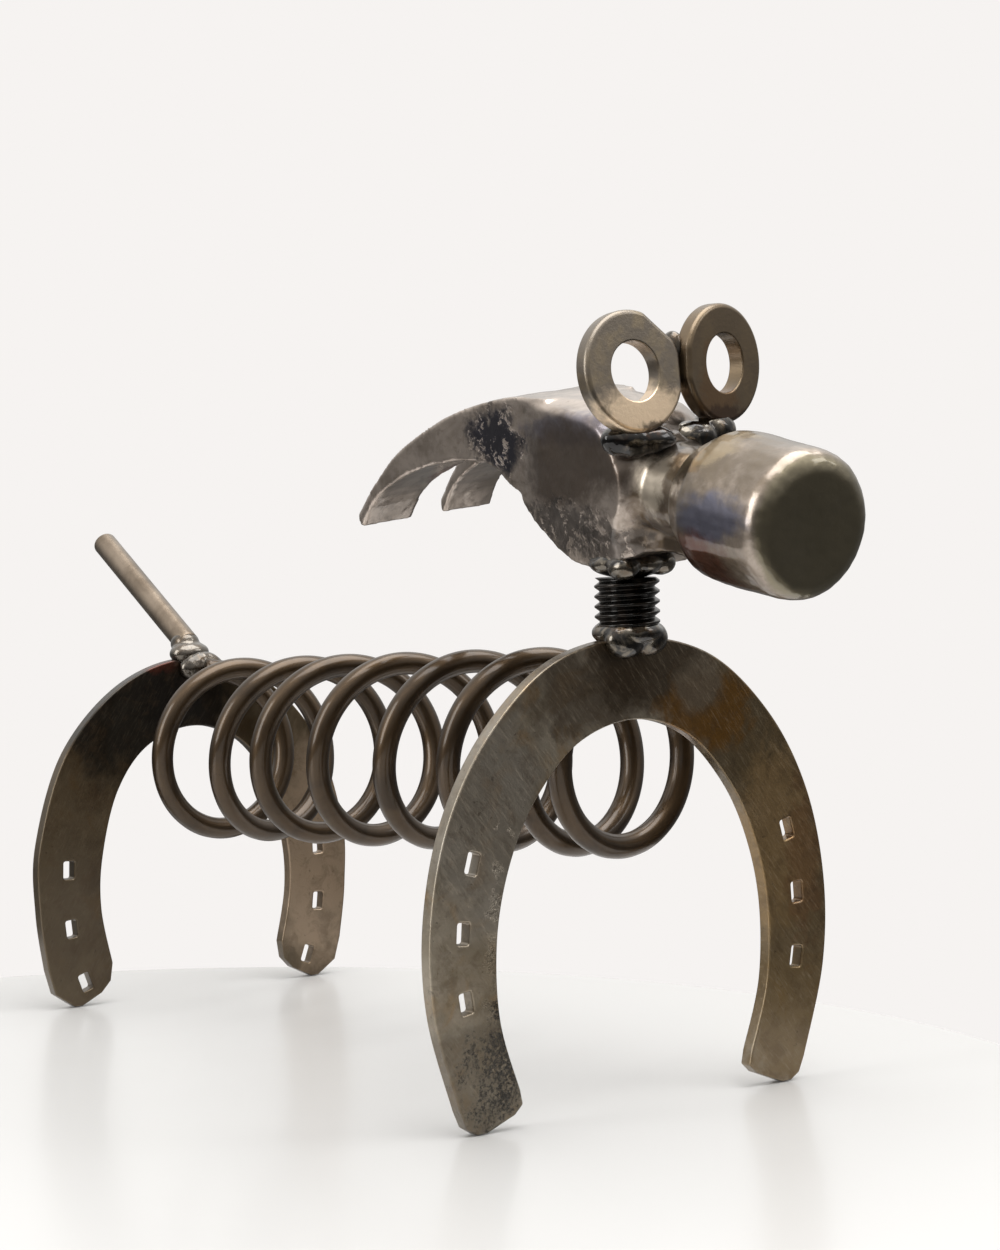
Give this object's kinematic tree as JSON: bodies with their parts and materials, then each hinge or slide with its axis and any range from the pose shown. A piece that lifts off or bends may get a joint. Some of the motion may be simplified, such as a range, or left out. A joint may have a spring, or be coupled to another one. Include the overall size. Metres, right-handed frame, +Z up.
{
  "type": "scrap metal dog sculpture",
  "caption": "Standing dog welded from scrap steel: horseshoe legs, coil spring body, threaded rod neck, claw hammer head, washer eyes and a bare rod tail.",
  "frame": {"origin": "centre of the sculpture's bounding box, on the surface that it stands on", "axes": "+Z up, -Y towards the dog's nose, +X to the dog's left"},
  "size_m": [0.0974, 0.2701, 0.1558],
  "materials": {
    "horseshoe_steel": "worn dark plate with brown heat colours and brush marks under clear lacquer",
    "spring_steel": "plain brown-grey wire under clear lacquer",
    "threaded_rod_steel": "dark glossy thread under clear lacquer",
    "hammer_steel": "forged steel with dark scale flakes and blue and brown heat colours under clear lacquer",
    "washer_steel": "satin grey-brown flat washer under clear lacquer",
    "tail_rod_steel": "brown-grey round rod under clear lacquer",
    "weld_metal": "glossy bead, silver to black with straw heat colours"
  },
  "bodies": {
    "root": {"front_horseshoe": "horseshoe_steel", "rear_horseshoe": "horseshoe_steel", "coil_spring": "spring_steel", "neck_rod": "threaded_rod_steel", "hammer_head": "hammer_steel", "eye_washer_right": "washer_steel", "eye_washer_left": "washer_steel", "tail_rod": "tail_rod_steel", "neck_weld_lower": "weld_metal", "neck_weld_upper": "weld_metal", "spring_weld_front": "weld_metal", "spring_weld_rear": "weld_metal", "tail_weld": "weld_metal", "eye_weld_right": "weld_metal", "eye_weld_left": "weld_metal", "eye_bridge_weld": "weld_metal"}
  },
  "joints": []
}
